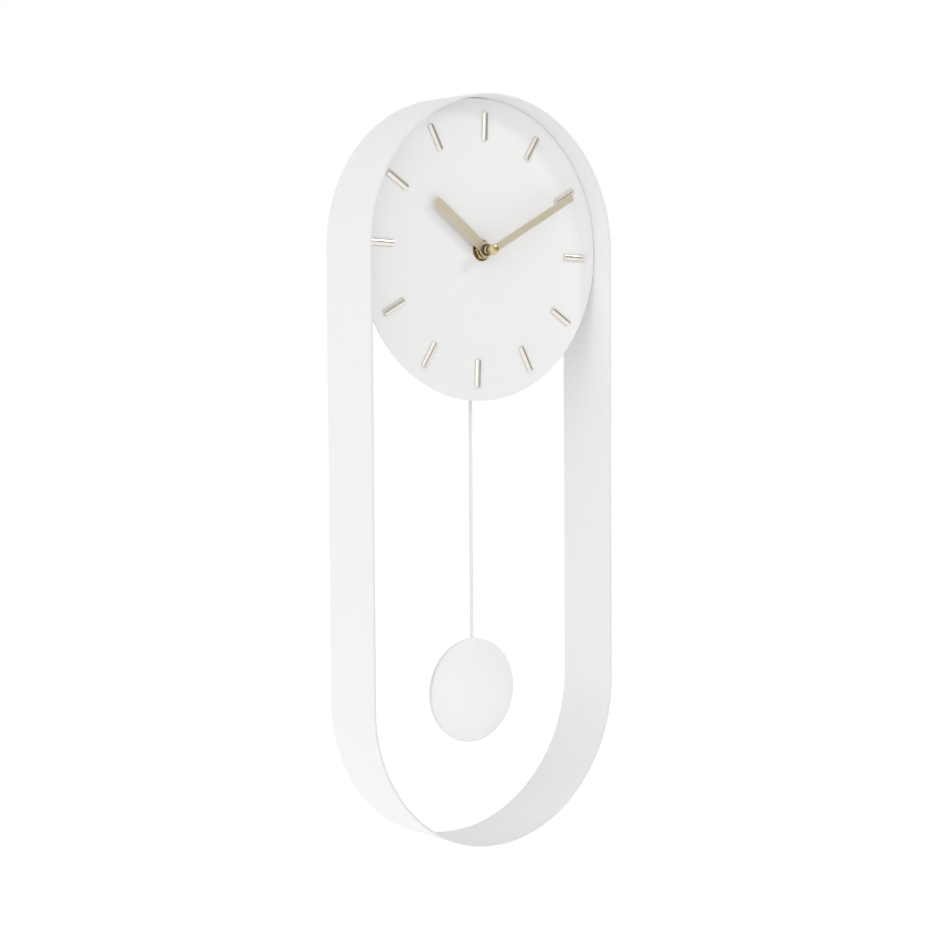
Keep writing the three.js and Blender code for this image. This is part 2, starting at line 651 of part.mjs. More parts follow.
// ---------------------------------------------------------------- pendulum
const PIVOT_PIN_RADIUS = 1;
const ARM_EYE_RADIUS = 4;
const ARM_EYE_HALF = 1.5;
const ARM_HALF_WIDTH = 2.5;
const ARM_HALF_THICK = 1;
const ARM_BELOW_HOOK = 3;
const HOOK_HOLE = 1.7;
const MAGNET_Z = -58;
const MAGNET_RADIUS = 3.5;
const MAGNET_LENGTH = 2;
const DRIVE_COIL_BORE = 2.5;
const DRIVE_COIL_RADIUS = 7;

function makePendulumDrive() {
  const pinFront = CASE_INNER_FRONT + GAP;
  add('pendulum_pivot_pin',
    rod(PIVOT_PIN_RADIUS, pinFront, CASE_BACK - CASE_WALL - GAP, 0, PIVOT_Z), 'steel');
  const eyeSides = 16;
  const eyeBore = (PIVOT_PIN_RADIUS + GAP / 3) / Math.cos(Math.PI / eyeSides);
  const eye = ring(eyeBore, ARM_EYE_RADIUS, SWING_PLANE - ARM_EYE_HALF,
    SWING_PLANE + ARM_EYE_HALF, 0, PIVOT_Z, eyeSides);
  const blade = block(
    [-ARM_HALF_WIDTH, SWING_PLANE - ARM_HALF_THICK, ARM_HOOK_Z - ARM_BELOW_HOOK],
    [ARM_HALF_WIDTH, SWING_PLANE + ARM_HALF_THICK, PIVOT_Z - ARM_EYE_RADIUS + PAST]);
  const hookHole = rod(HOOK_HOLE, SWING_PLANE - ARM_HALF_THICK - PAST,
    SWING_PLANE + ARM_HALF_THICK + PAST, 0, ARM_HOOK_Z, 16);
  add('pendulum_arm', cut(join(eye, blade), hookHole), 'blackPlastic');
  const magnetBack = SWING_PLANE - ARM_HALF_THICK - GAP;
  add('pendulum_magnet',
    rod(MAGNET_RADIUS, magnetBack - MAGNET_LENGTH, magnetBack, 0, MAGNET_Z, 20), 'steel');
  add('drive_coil',
    ring(DRIVE_COIL_BORE, DRIVE_COIL_RADIUS, pinFront, SWING_PLANE - SLOT_DEPTH, 0, MAGNET_Z),
    'copper');
}

const ROD_STRAIGHT_FROM = 15;       // below the hook's hole, where the rod runs straight
const ROD_FOOT = 12;                // the rod's lower end above the bob's centre
const HOOK_PATH = [                 // y and z from the hook's hole, front end first
  [-2.9, -2.2], [-2.7, 0], [0, 0.2], [2.7, -0.4], [2.8, -3.5], [0.7, -6.8], [0, -10], [0, -16],
];

// The rod's upper end is a hook through the arm's hole; its lower end sits in the bob's socket.
function makePendulumRod() {
  const points = HOOK_PATH.map(([y, z]) => (
    new THREE.Vector3(0, SWING_PLANE + y, ARM_HOOK_Z + z)));
  const section = new THREE.Shape().absarc(0, 0, ROD_RADIUS, 0, 2 * Math.PI, false);
  const hook = new THREE.ExtrudeGeometry(section, {
    steps: 20, curveSegments: 4, bevelEnabled: false,
    extrudePath: new THREE.CatmullRomCurve3(points),
  });
  const top = ARM_HOOK_Z - ROD_STRAIGHT_FROM;
  const foot = BOB_Z + ROD_FOOT;
  const straight = new THREE.CylinderGeometry(ROD_RADIUS, ROD_RADIUS, top - foot, 10);
  straight.rotateX(Math.PI / 2);
  straight.translate(0, SWING_PLANE, (top + foot) / 2);
  add('pendulum_rod', join(hook, straight), 'whitePaint');
}

const NOTCH_HALF = 1.6;             // the rod's way through the skirt of the bob
const NOTCH_FROM = 25;
const BACK_PLATE = 1;
const SOCKET = { half: 4, low: 4, high: 20, front: 2.2 };
const SOCKET_BORE = 1.6;

// A pressed shell with a domed front and a skirt, closed by a flat plate from behind.
function makeBob() {
  const rimFront = SWING_PLANE - BOB_RIM;
  const skirtBack = SWING_PLANE + BOB_RIM;
  const steps = 8;
  const dome = (radius, crown) => Array.from({ length: steps + 1 }, (_, i) => {
    const share = i / steps;
    return [radius * share, rimFront - crown * (1 - share ** 2) ** BOB_CROWN_POWER];
  });
  const outer = dome(BOB_RADIUS, BOB_CROWN);
  const inner = dome(BOB_RADIUS - BOB_WALL, BOB_CROWN - BOB_WALL).reverse();
  const skirt = [[BOB_RADIUS, skirtBack], [BOB_RADIUS - BOB_WALL, skirtBack]];
  const notch = block([-NOTCH_HALF, SWING_PLANE - NOTCH_HALF, BOB_Z + NOTCH_FROM],
    [NOTCH_HALF, skirtBack + PAST, BOB_Z + BOB_RADIUS + PAST]);
  const shell = turned([...outer, ...skirt, ...inner], 0, BOB_Z, 48);
  add('bob_front_shell', cut(shell, notch), 'whitePaint');
  const plateFront = skirtBack + GAP;
  add('bob_back_plate', rod(BOB_RADIUS - BOB_WALL / 2, plateFront, plateFront + BACK_PLATE,
    0, BOB_Z, 56), 'whitePaint');
  const socket = block([-SOCKET.half, SWING_PLANE - SOCKET.front, BOB_Z + SOCKET.low],
    [SOCKET.half, skirtBack, BOB_Z + SOCKET.high]);
  const seatFoot = BOB_Z + ROD_FOOT - GAP;
  const seatTop = BOB_Z + SOCKET.high + PAST;
  const seat = new THREE.CylinderGeometry(SOCKET_BORE, SOCKET_BORE, seatTop - seatFoot, 12);
  seat.rotateX(Math.PI / 2);
  seat.translate(0, SWING_PLANE, (seatTop + seatFoot) / 2);
  add('rod_socket', cut(socket, seat), 'blackPlastic');
}

// ---------------------------------------------------------------- assembly
makeBand();
makeDial();
makeBrackets();
makeMarkers();
makeCase();
makeHanger();
makeFixings();
makeTrain();
makeMotionWork();
makeBattery();
makeBoard();
makeStepper();
makeHands();
makePendulumDrive();
makePendulumRod();
makeBob();

// Every piece was laid out about the dial's centre, which hangs below the nail.
for (const mesh of clock.children) {
  mesh.position.z = DIAL_Z;
}

export default clock;
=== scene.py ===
# %% [markdown]
# # A pendulum wall clock
# This lesson dresses a finished clock in its real surfaces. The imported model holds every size
# and every moving joint, so nothing here decides where a piece goes. Each visible piece is
# built again with finer edges, in the same place, and rides on the same body.

# %% The frame and the box that the clock must keep
import json
import math

import bmesh
import bpy
from mathutils import Matrix, Vector


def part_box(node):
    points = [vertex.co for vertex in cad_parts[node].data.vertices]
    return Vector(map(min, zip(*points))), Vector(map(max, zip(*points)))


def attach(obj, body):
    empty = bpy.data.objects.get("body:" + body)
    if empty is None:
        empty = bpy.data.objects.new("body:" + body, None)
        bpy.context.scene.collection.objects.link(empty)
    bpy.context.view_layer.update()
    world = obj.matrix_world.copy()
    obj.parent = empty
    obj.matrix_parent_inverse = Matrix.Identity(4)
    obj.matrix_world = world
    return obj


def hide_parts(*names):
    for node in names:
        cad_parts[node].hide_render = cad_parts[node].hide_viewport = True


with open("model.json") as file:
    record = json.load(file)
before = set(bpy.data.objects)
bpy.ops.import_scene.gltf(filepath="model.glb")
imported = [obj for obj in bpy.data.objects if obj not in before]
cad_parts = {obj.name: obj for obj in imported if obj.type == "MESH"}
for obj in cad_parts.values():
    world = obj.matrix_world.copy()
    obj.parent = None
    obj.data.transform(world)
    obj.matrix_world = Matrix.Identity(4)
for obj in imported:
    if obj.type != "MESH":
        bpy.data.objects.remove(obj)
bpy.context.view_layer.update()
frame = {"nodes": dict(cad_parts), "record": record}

MM = 0.001
BODY_OF = {
    node: body
    for body, nodes in frame["record"]["behaviour"]["bodies"].items()
    for node in nodes
}
SLOT_OF = {part["node"]: part["material_slot"] for part in frame["record"]["subparts"]}

# %% [markdown]
# ## Places that the other cells need
# The dial's centre is the centre of its own box. Everything about the hands and the movement
# is measured from there, so the numbers stay small and readable.

# %% The dial's centre and the band's middle
dial_low, dial_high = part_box("dial_plate")
band_low, band_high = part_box("band")
DIAL_X = (dial_low.x + dial_high.x) / 2
DIAL_Z = (dial_low.z + dial_high.z) / 2
BAND_CENTRE = (band_low + band_high) / 2
print("dial centre z %.1f mm" % (DIAL_Z / MM), "band centre", tuple(BAND_CENTRE))

# %% [markdown]
# ## Camera
# A camera is a place, a direction and a focal length. The direction is given as an azimuth
# and an elevation about the middle of the band, which is easier to read than a matrix. A
# long lens from 1.4 m keeps the sides of the band nearly parallel.

# %% Place the camera
AZIMUTH = math.radians(38.46)
ELEVATION = math.radians(3.70)
ROLL = math.radians(-0.34)
DISTANCE = 1.398
LENS = 80.9
SENSOR = 36
SHIFT = (-0.0026, -0.0003)


def make_camera():
    back = Vector((
        -math.sin(AZIMUTH) * math.cos(ELEVATION),
        -math.cos(AZIMUTH) * math.cos(ELEVATION),
        math.sin(ELEVATION),
    ))
    right = Vector((0, 0, 1)).cross(back).normalized()
    up = back.cross(right)
    turned_right = math.cos(ROLL) * right + math.sin(ROLL) * up
    turned_up = math.cos(ROLL) * up - math.sin(ROLL) * right
    camera = bpy.data.objects.new("camera", bpy.data.cameras.new("camera"))
    camera.data.lens = LENS
    camera.data.sensor_width = SENSOR
    camera.data.clip_start = 0.01
    camera.data.clip_end = 50
    turn = Matrix((turned_right, turned_up, back)).transposed().to_4x4()
    camera.matrix_world = Matrix.Translation(BAND_CENTRE + DISTANCE * back) @ turn
    camera.data.shift_x, camera.data.shift_y = SHIFT
    bpy.context.scene.collection.objects.link(camera)
    bpy.context.scene.camera = camera
    print("camera at", tuple(round(v, 3) for v in camera.location))


make_camera()

# %% [markdown]
# ## Writing shaders as sums
# A node tree is easier to read as arithmetic. `Value` wraps one socket, and the ordinary
# operators add Math nodes behind it. `Tree` adds any other node, and `Finish` is the tree of
# one material.

# %% The three small classes
class Value:
    def __init__(self, tree, socket):
        self.tree = tree
        self.socket = socket

    def _math(self, operation, first, second):
        return self.tree.node("ShaderNodeMath", {"operation": operation},
                              {0: first, 1: second})

    def __add__(self, other):
        return self._math("ADD", self, other)

    def __radd__(self, other):
        return self._math("ADD", other, self)

    def __sub__(self, other):
        return self._math("SUBTRACT", self, other)

    def __rsub__(self, other):
        return self._math("SUBTRACT", other, self)

    def __mul__(self, other):
        return self._math("MULTIPLY", self, other)

    def __rmul__(self, other):
        return self._math("MULTIPLY", other, self)

    def sine(self):
        return self._math("SINE", self, 0.0)

    def above(self, least):
        return self._math("MAXIMUM", self, least)


class Tree:
    def __init__(self, tree):
        self.tree = tree

    def feed(self, socket, value):
        if isinstance(value, Value):
            self.tree.links.new(value.socket, socket)
        else:
            socket.default_value = value

    def node(self, kind, settings=None, sockets=None, output=0):
        made = self.tree.nodes.new(kind)
        for name, value in (settings or {}).items():
            setattr(made, name, value)
        for name, value in (sockets or {}).items():
            self.feed(made.inputs[name], value)
        return Value(self, made.outputs[output])


class Finish(Tree):
    def __init__(self, name, **constants):
        self.material = bpy.data.materials.new(name)
        self.material.use_nodes = True
        super().__init__(self.material.node_tree)
        self.shader = self.tree.nodes["Principled BSDF"]
        for socket, value in constants.items():
            self.shader.inputs[socket.replace("_", " ")].default_value = value

    def place(self, scale=(1, 1, 1), centre=(0, 0, 0)):
        where = self.node("ShaderNodeTexCoord", output="Object")
        moved = self.node("ShaderNodeVectorMath", {"operation": "SUBTRACT"},
                          {0: where, 1: centre})
        return self.node("ShaderNodeMapping", None, {"Vector": moved, "Scale": scale})

    def noise(self, scale, place, detail=2.0):
        return self.node("ShaderNodeTexNoise", None,
                         {"Vector": place, "Scale": scale, "Detail": detail})

    def blend(self, mask, low, high):
        """A colour between two others, chosen by the mask."""
        made = self.tree.nodes.new("ShaderNodeMix")
        made.data_type = "RGBA"
        colours = [s for s in made.inputs if s.type == "RGBA"]
        self.feed(made.inputs[0], mask)
        for socket, colour in zip(colours, (low, high)):
            self.feed(socket, colour if isinstance(colour, Value) else (*colour, 1))
        return Value(self, next(s for s in made.outputs if s.type == "RGBA"))

    def relief(self, height, strength, depth):
        bump = self.node("ShaderNodeBump", None,
                         {"Height": height, "Strength": strength, "Distance": depth})
        self.feed(self.shader.inputs["Normal"], bump)

    def set(self, socket, value):
        self.feed(self.shader.inputs[socket], value)


# %% [markdown]
# ## Floor and light
# White metal only shows its shape by gentle differences of grey, so most of the light is the
# room itself. Two opposite corners of the room are bright: a large screen stands at the
# front left, and the pale sweep runs up behind on the right. The product of the two level
# directions is positive in just those corners. The back left corner is dim, which is what
# darkens the band just behind the dial, and the room is darker overhead. One wide lamp at
# the upper right throws the faint shadow of the hands. The sweep itself is seen as plain
# white, and the floor gives off a little light of its own so that it stays as pale.

# %% Make the studio
ROOM_LEVEL = 0.955
ROOM_CORNERS = 0.62
ROOM_LEFT_GAIN = 0.60
ROOM_OVERHEAD_LOSS = 0.14
ROOM_BACK_LEFT_LOSS = 0.85
KEY_POWER = 4.8
KEY_SIZE = 0.40
KEY_PLACE = Vector((1.00, -1.05, 0.85))
FLOOR_DROP = 1.5
FLOOR_SIZE = 60
FLOOR_WHITE = 0.86
FLOOR_GLOW = 0.36


def make_room():
    world = bpy.data.worlds.new("studio")
    world.use_nodes = True
    room = Tree(world.node_tree)
    direction = room.node("ShaderNodeTexCoord", output="Generated")
    right, back, up = (room.node("ShaderNodeSeparateXYZ", None, {0: direction}, axis)
                       for axis in "XYZ")
    overhead = room.node("ShaderNodeMapRange", {"interpolation_type": "SMOOTHSTEP"},
                         {"Value": up, "From Min": 0.30, "From Max": 0.90})
    back_left = back.above(0) * (-1 * right).above(0)
    level = (ROOM_LEVEL + ROOM_CORNERS * (right * back) - ROOM_LEFT_GAIN * right
             - ROOM_OVERHEAD_LOSS * overhead - 2 * ROOM_BACK_LEFT_LOSS * back_left)
    seen = room.node("ShaderNodeLightPath", output="Is Camera Ray")
    level = level.above(0) + seen * (1 - level.above(0))
    background = world.node_tree.nodes["Background"]
    background.inputs["Color"].default_value = (1, 1, 1, 1)
    room.feed(background.inputs["Strength"], level)
    return world


def make_studio():
    scene = bpy.context.scene
    scene.view_settings.view_transform = "Standard"
    scene.world = make_room()

    key = bpy.data.objects.new("key", bpy.data.lights.new("key", "AREA"))
    key.data.shape = "DISK"
    key.data.size = KEY_SIZE
    key.data.energy = KEY_POWER
    aim = Vector((DIAL_X, 0, DIAL_Z))
    key.location = aim + KEY_PLACE
    key.rotation_euler = (aim - key.location).to_track_quat("-Z", "Y").to_euler()
    scene.collection.objects.link(key)

    bpy.ops.mesh.primitive_plane_add(size=FLOOR_SIZE, location=(0, 0, band_low.z - FLOOR_DROP))
    floor = bpy.context.object
    floor.name = "floor"
    paper = Finish("floor_paper", Base_Color=(FLOOR_WHITE, FLOOR_WHITE, FLOOR_WHITE, 1),
                   Roughness=0.9, Emission_Color=(1, 1, 1, 1), Emission_Strength=FLOOR_GLOW)
    floor.data.materials.append(paper.material)
    print("room", ROOM_LEVEL, "lamp", KEY_POWER, "W")


make_studio()

# %% [markdown]
# ## Powder coat
# Powder melts on hot sheet metal and flows out into a satin skin with a very fine orange
# peel, under a millimetre from crest to crest. Two noises do it: a fine one for the peel,
# and a broad faint one that keeps a large white area from looking printed. The front edge
# of the band is painted a shade greyer: a painted shade that keeps the thin edge from
# catching a bright line of light.

# %% White powder coat
# How much greyer the front edge is painted: a painted shade that dims the light the edge
# catches.
CUT_EDGE_PAINTED_SHADE = 0.86


def powder_coat(name="powder_coat", tone=(0.84, 0.84, 0.838), painted_shade_edge_at=None):
    coat = Finish(name, Coat_Weight=0.12, Coat_Roughness=0.25, Specular_IOR_Level=0.45)
    peel = coat.noise(1500.0, coat.place(), 3.0)
    cloud = coat.noise(9.0, coat.place(), 2.0)
    darker = tuple(0.985 * c for c in tone)
    colour = coat.blend(cloud, darker, tone)
    # Painted shade: colour the front edge of the band greyer to dim the light it catches.
    if painted_shade_edge_at is not None:
        depth = coat.node("ShaderNodeSeparateXYZ", None, {0: coat.place()}, "Y")
        edge = coat.node("ShaderNodeMath", {"operation": "LESS_THAN"}, {0: depth, 1: painted_shade_edge_at})
        colour = coat.blend(edge, colour, tuple(CUT_EDGE_PAINTED_SHADE * c for c in tone))
    coat.set("Base Color", colour)
    coat.set("Roughness", 0.38 + 0.10 * peel)
    coat.relief(peel, 0.22, 0.06 * MM)
    return coat.material


# %% [markdown]
# ## Satin gold hands and polished markers
# Both are thin aluminium with a pale gold anodised skin. The hands are brushed along their
# length, which needs a noise squeezed thin across the grain and long with it. Because a hand
# points at an angle, the pattern is turned by the same angle. The markers are polished.

# %% Anodised gold, brushed or polished
def gold_skin(name, turn, roughness, grain, low, high):
    skin = Finish(name, Metallic=0.85)
    where = skin.place(centre=(DIAL_X, 0, DIAL_Z))
    along = skin.node("ShaderNodeMapping", None, {
        "Vector": where, "Rotation": (0, -turn, 0), "Scale": (9, 3, 0.22)})
    streak = skin.noise(600.0, along, 3.0)
    cloud = skin.noise(60.0, where, 2.0)
    skin.set("Base Color", skin.blend(cloud, low, high))
    skin.set("Roughness", roughness + grain * streak)
    skin.relief(streak, 0.25 * grain / 0.2, 0.03 * MM)
    return skin.material


# %% [markdown]
# ## Turned brass
# A nut, a washer and a bush come off a lathe, which leaves fine rings about the axis. The
# distance from the axis is a vector length, and the sine of it makes the rings.

# %% Brass with lathe rings
LATHE_RINGS = 5200.0             # radians of the ring pattern in a metre


def turned_metal(name, dark, light, roughness):
    metal = Finish(name, Metallic=1.0)
    flat = metal.place(scale=(1, 0, 1), centre=(DIAL_X, 0, DIAL_Z))
    radius = metal.node("ShaderNodeVectorMath", {"operation": "LENGTH"}, {0: flat}, "Value")
    ring = 0.5 + 0.5 * (LATHE_RINGS * radius).sine()
    tarnish = metal.noise(420.0, metal.place(), 4.0)
    metal.set("Base Color", metal.blend(tarnish, dark, light))
    metal.set("Roughness", roughness + 0.10 * tarnish + 0.05 * ring)
    metal.relief(ring, 0.18, 0.02 * MM)
    return metal.material


# %% [markdown]
# ## Plain steel, moulded plastic and rubber
# Pressed steel shows the rolling marks of its sheet. Moulded plastic shows the spark texture
# of its mould, which is a fine even grain. Rubber is darker, rougher and a little dusty.

# %% Steel sheet
def rolled_steel():
    steel = Finish("rolled_steel", Metallic=1.0)
    roll = steel.noise(900.0, steel.place(scale=(1, 1, 0.04)), 3.0)
    stain = steel.noise(70.0, steel.place(), 3.0)
    steel.set("Base Color", steel.blend(stain, (0.50, 0.51, 0.53), (0.66, 0.67, 0.69)))
    steel.set("Roughness", 0.26 + 0.18 * roll)
    steel.relief(roll, 0.18, 0.03 * MM)
    return steel.material


# %% Moulded plastic and rubber
def moulded(name, low, high, roughness, grain_size, depth):
    plastic = Finish(name, Specular_IOR_Level=0.45)
    grain = plastic.noise(grain_size, plastic.place(), 3.0)
    flow = plastic.noise(35.0, plastic.place(), 2.0)
    plastic.set("Base Color", plastic.blend(flow, low, high))
    plastic.set("Roughness", roughness + 0.12 * grain)
    plastic.relief(grain, 0.35, depth)
    return plastic.material


# %% [markdown]
# ## Windings, board and battery
# A coil is a stack of fine enamelled wire, so its surface is a row of tiny ridges. A circuit
# board is green solder mask over copper tracks. The battery has a plain printed sleeve, with
# a lighter band at one end and no words.

# %% Wound copper
def winding():
    wire = Finish("wound_copper", Metallic=0.8)
    ridge = wire.node("ShaderNodeTexWave", {"wave_type": "BANDS", "bands_direction": "Y"},
                      {"Vector": wire.place(), "Scale": 700.0})
    # The grooves between turns are coloured darker than the crests: a painted shade in the
    # grooves.
    wire.set("Base Color", wire.blend(ridge, (0.30, 0.10, 0.04), (0.62, 0.27, 0.11)))
    wire.set("Roughness", 0.30 + 0.15 * ridge)
    wire.relief(ridge, 0.5, 0.06 * MM)
    return wire.material


# %% Circuit board and battery sleeve
def circuit_green():
    board = Finish("solder_mask", Coat_Weight=0.3)
    track = board.node("ShaderNodeTexVoronoi", {"feature": "DISTANCE_TO_EDGE"},
                       {"Vector": board.place(), "Scale": 260.0})
    board.set("Base Color", board.blend(track, (0.10, 0.30, 0.12), (0.02, 0.13, 0.05)))
    board.set("Roughness", 0.35 + 0.10 * track)
    board.relief(track, 0.3, 0.05 * MM)
    return board.material


GILT_END = 12 * MM


def battery_sleeve():
    sleeve = Finish("battery_sleeve", Coat_Weight=0.4, Coat_Roughness=0.1, Metallic=0.2)
    where = sleeve.node("ShaderNodeTexCoord", output="Object")
    across = sleeve.node("ShaderNodeSeparateXYZ", None, {0: where}, "X")
    band = sleeve.node("ShaderNodeMath", {"operation": "GREATER_THAN"},
                       {0: across, 1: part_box("battery")[1].x - GILT_END})
    crease = sleeve.noise(180.0, sleeve.place(), 3.0)
    sleeve.set("Base Color", sleeve.blend(band, (0.035, 0.06, 0.13), (0.62, 0.48, 0.22)))
    sleeve.set("Roughness", 0.22 + 0.15 * crease)
    sleeve.relief(crease, 0.1, 0.05 * MM)
    return sleeve.material


# %% Make each finish once
HOUR_TURN = math.radians(-52.5)
MINUTE_TURN = math.radians(62)
MARKER_TURN = math.radians(2.5)
FINISHES = {
    "white_paint": powder_coat(),
    "champagne": gold_skin("polished_gold", 0.0, 0.12, 0.06,
                           (0.78, 0.73, 0.66), (0.88, 0.83, 0.76)),
    "brass": turned_metal("turned_brass", (0.52, 0.42, 0.19), (0.86, 0.75, 0.42), 0.20),
    "steel": rolled_steel(),
    "black_plastic": moulded("black_plastic", (0.012, 0.012, 0.013),
                             (0.022, 0.022, 0.024), 0.48, 2200.0, 0.05 * MM),
    "gear_plastic": moulded("gear_plastic", (0.72, 0.69, 0.60), (0.80, 0.78, 0.70),
                            0.36, 1500.0, 0.02 * MM),
    "rubber": moulded("rubber", (0.010, 0.010, 0.010), (0.020, 0.019, 0.018),
                      0.72, 1100.0, 0.08 * MM),
    "copper_winding": winding(),
    "circuit_board": circuit_green(),
    "battery_sleeve": battery_sleeve(),
}
PALE_GOLD = (0.65, 0.58, 0.45)
LIGHT_GOLD = (0.73, 0.66, 0.52)
HOUR_FINISH = gold_skin("brushed_gold_hour", HOUR_TURN, 0.36, 0.2, PALE_GOLD, LIGHT_GOLD)
MINUTE_FINISH = gold_skin("brushed_gold_minute", MINUTE_TURN, 0.34, 0.2,
                          PALE_GOLD, LIGHT_GOLD)
DIAL_COAT = powder_coat("dial_coat", (0.80, 0.80, 0.798))
# The band's coat carries the painted shade on its front edge.
BAND_COAT = powder_coat("band_coat", painted_shade_edge_at=band_low.y + 0.6 * MM)
ROD_COAT = powder_coat("rod_coat", (0.78, 0.78, 0.778))
# Dark brass for the washer, bush and collets: partly aged brass, partly painted shade for the
# crowded stack under the hands.
BRASS_AGED_AND_SHADED = turned_metal("aged_brass_and_painted_shade", (0.10, 0.065, 0.025), (0.34, 0.23, 0.09), 0.24)
print("finishes", len(bpy.data.materials))

# %% [markdown]
# ## Carried-over pieces
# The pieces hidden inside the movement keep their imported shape, and only get a finish. The
# loop runs over every node first, so that nothing is ever left a plain grey.

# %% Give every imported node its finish
for node, thing in frame["nodes"].items():
    thing.data.materials.clear()
    thing.data.materials.append(FINISHES[SLOT_OF[node]])
print("nodes given a finish", len(frame["nodes"]))

# %% [markdown]
# ## From a bmesh to a piece
# Each new piece takes the same last steps: merge doubles, turn the faces outwards, shade it
# smooth except at true corners, and say which body it rides on and which node it replaces. A
# weighted normal keeps the flat faces flat in the light, next to their rounded edges.

# %% Finish a piece
CORNER = math.radians(38)
DOUBLE = 0.002 * MM


def piece(bm, node, finish=None):
    bmesh.ops.remove_doubles(bm, verts=bm.verts, dist=DOUBLE)
    bmesh.ops.recalc_face_normals(bm, faces=bm.faces)
    for face in bm.faces:
        face.smooth = True
    for edge in bm.edges:
        edge.smooth = edge.calc_face_angle(0) < CORNER
    mesh = bpy.data.meshes.new(node + "_fine")
    bm.to_mesh(mesh)
    bm.free()
    made = bpy.data.objects.new(node + "_fine", mesh)
    bpy.context.scene.collection.objects.link(made)
    mesh.materials.append(finish or FINISHES[SLOT_OF[node]])
    weigh = made.modifiers.new("weigh", "WEIGHTED_NORMAL")
    weigh.keep_sharp = True
    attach(made, BODY_OF[node])
    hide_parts(node)
    print(made.name, len(mesh.polygons), "faces")


# %% [markdown]
# ## Rounding a flat outline
# Real edges are never knife sharp. This helper takes the corners of an outline and puts a
# small arc at each one, so that one function serves every section below.

# %% Soften the corners of an outline
def soften(corners, radius, steps=4, closed=True):
    count = len(corners)
    softened = []
    for i, corner in enumerate(corners):
        here = Vector(corner)
        if not closed and i in (0, count - 1):
            softened.append(here)
            continue
        before = Vector(corners[i - 1]) - here
        after = Vector(corners[(i + 1) % count]) - here
        reach = min(radius, 0.45 * before.length, 0.45 * after.length)
        start = here + reach * before.normalized()
        end = here + reach * after.normalized()
        for k in range(steps + 1):
            t = k / steps
            softened.append((1 - t) ** 2 * start + 2 * t * (1 - t) * here + t * t * end)
    return softened


# %% [markdown]
# ## Turned pieces
# Nuts, washers, the dial and the bob are all round, so one profile of radius and depth is
# spun about the front-to-back axis. The spin merges its last step into its first.

# %% Spin a profile about the Y axis
def chain(bm, points, closed):
    verts = [bm.verts.new(p) for p in points]
    pairs = list(zip(verts, verts[1:] + verts[:1])) if closed else list(zip(verts, verts[1:]))
    return verts, [bm.edges.new(pair) for pair in pairs]


def spun(profile, closed, x=0.0, z=0.0, steps=96):
    bm = bmesh.new()
    points = [(x + p[0], p[1], z) for p in profile]
    verts, edges = chain(bm, points, closed)
    bmesh.ops.spin(bm, geom=verts + edges, cent=(x, 0, z), axis=(0, 1, 0),
                   angle=2 * math.pi, steps=steps, use_merge=True)
    bmesh.ops.remove_doubles(bm, verts=bm.verts, dist=DOUBLE)
    return bm


def absorb(bm, other):
    scratch = bpy.data.meshes.new("scratch")
    other.to_mesh(scratch)
    other.free()
    bm.from_mesh(scratch)
    bpy.data.meshes.remove(scratch)


def washer(node, inner, edge, finish=None, steps=96):
    low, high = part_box(node)
    x, z = (low.x + high.x) / 2, (low.z + high.z) / 2
    outer = (high.x - low.x) / 2
    corners = [(inner, low.y), (outer, low.y), (outer, high.y), (inner, high.y)]
    piece(spun(soften(corners, edge), True, x, z, steps), node, finish)


# %% [markdown]
# ## The band
# The real band is one strip of sheet steel, rolled into a long hoop and welded. The same
# idea works here: a small section of the strip is spun half a turn, drawn down, spun again
# and drawn back up. Its edges are broken by a small radius, as a guillotined strip's are.

# %% Roll the band
SHEET = 1.5 * MM
BAND_STEPS = 96


def make_band():
    radius = (band_high.x - band_low.x) / 2
    top = band_high.z - radius
    bottom = band_low.z + radius
    corners = [(radius - SHEET, band_low.y), (radius, band_low.y),
               (radius, band_high.y), (radius - SHEET, band_high.y)]
    bm = bmesh.new()
    points = [(p[0], p[1], top) for p in soften(corners, 0.5 * MM, 3)]
    verts, edges = chain(bm, points, True)

    def half_turn(verts, edges, height):
        made = bmesh.ops.spin(bm, geom=verts + edges, cent=(0, 0, height), axis=(0, 1, 0),
                              angle=-math.pi, steps=BAND_STEPS)["geom_last"]
        return ([v for v in made if isinstance(v, bmesh.types.BMVert)],
                [e for e in made if isinstance(e, bmesh.types.BMEdge)])

    def draw(edges, rise):
        made = bmesh.ops.extrude_edge_only(bm, edges=edges)["geom"]
        verts = [v for v in made if isinstance(v, bmesh.types.BMVert)]
        bmesh.ops.translate(bm, verts=verts, vec=(0, 0, rise))
        return verts, [e for e in made if isinstance(e, bmesh.types.BMEdge)
                       and e.verts[0] in verts and e.verts[1] in verts]

    verts, edges = half_turn(verts, edges, top)
    verts, edges = draw(edges, bottom - top)
    verts, edges = half_turn(verts, edges, bottom)
    draw(edges, top - bottom)
    piece(bm, "band", BAND_COAT)


make_band()

# %% [markdown]
# ## The dial
# The dial is a disc punched from sheet, with its front edge rolled a little by the punch.
# The powder coat rounds it further, and that round edge is what catches the light.

# %% Turn the dial and its three studs
BUSH_HOLE = 4.4 * MM
DIAL_SHEET = 1.2 * MM
STUD_CIRCLE = 90 * MM
STUD_RADIUS = 1.2 * MM
STUD_CHAMFER = 0.2 * MM


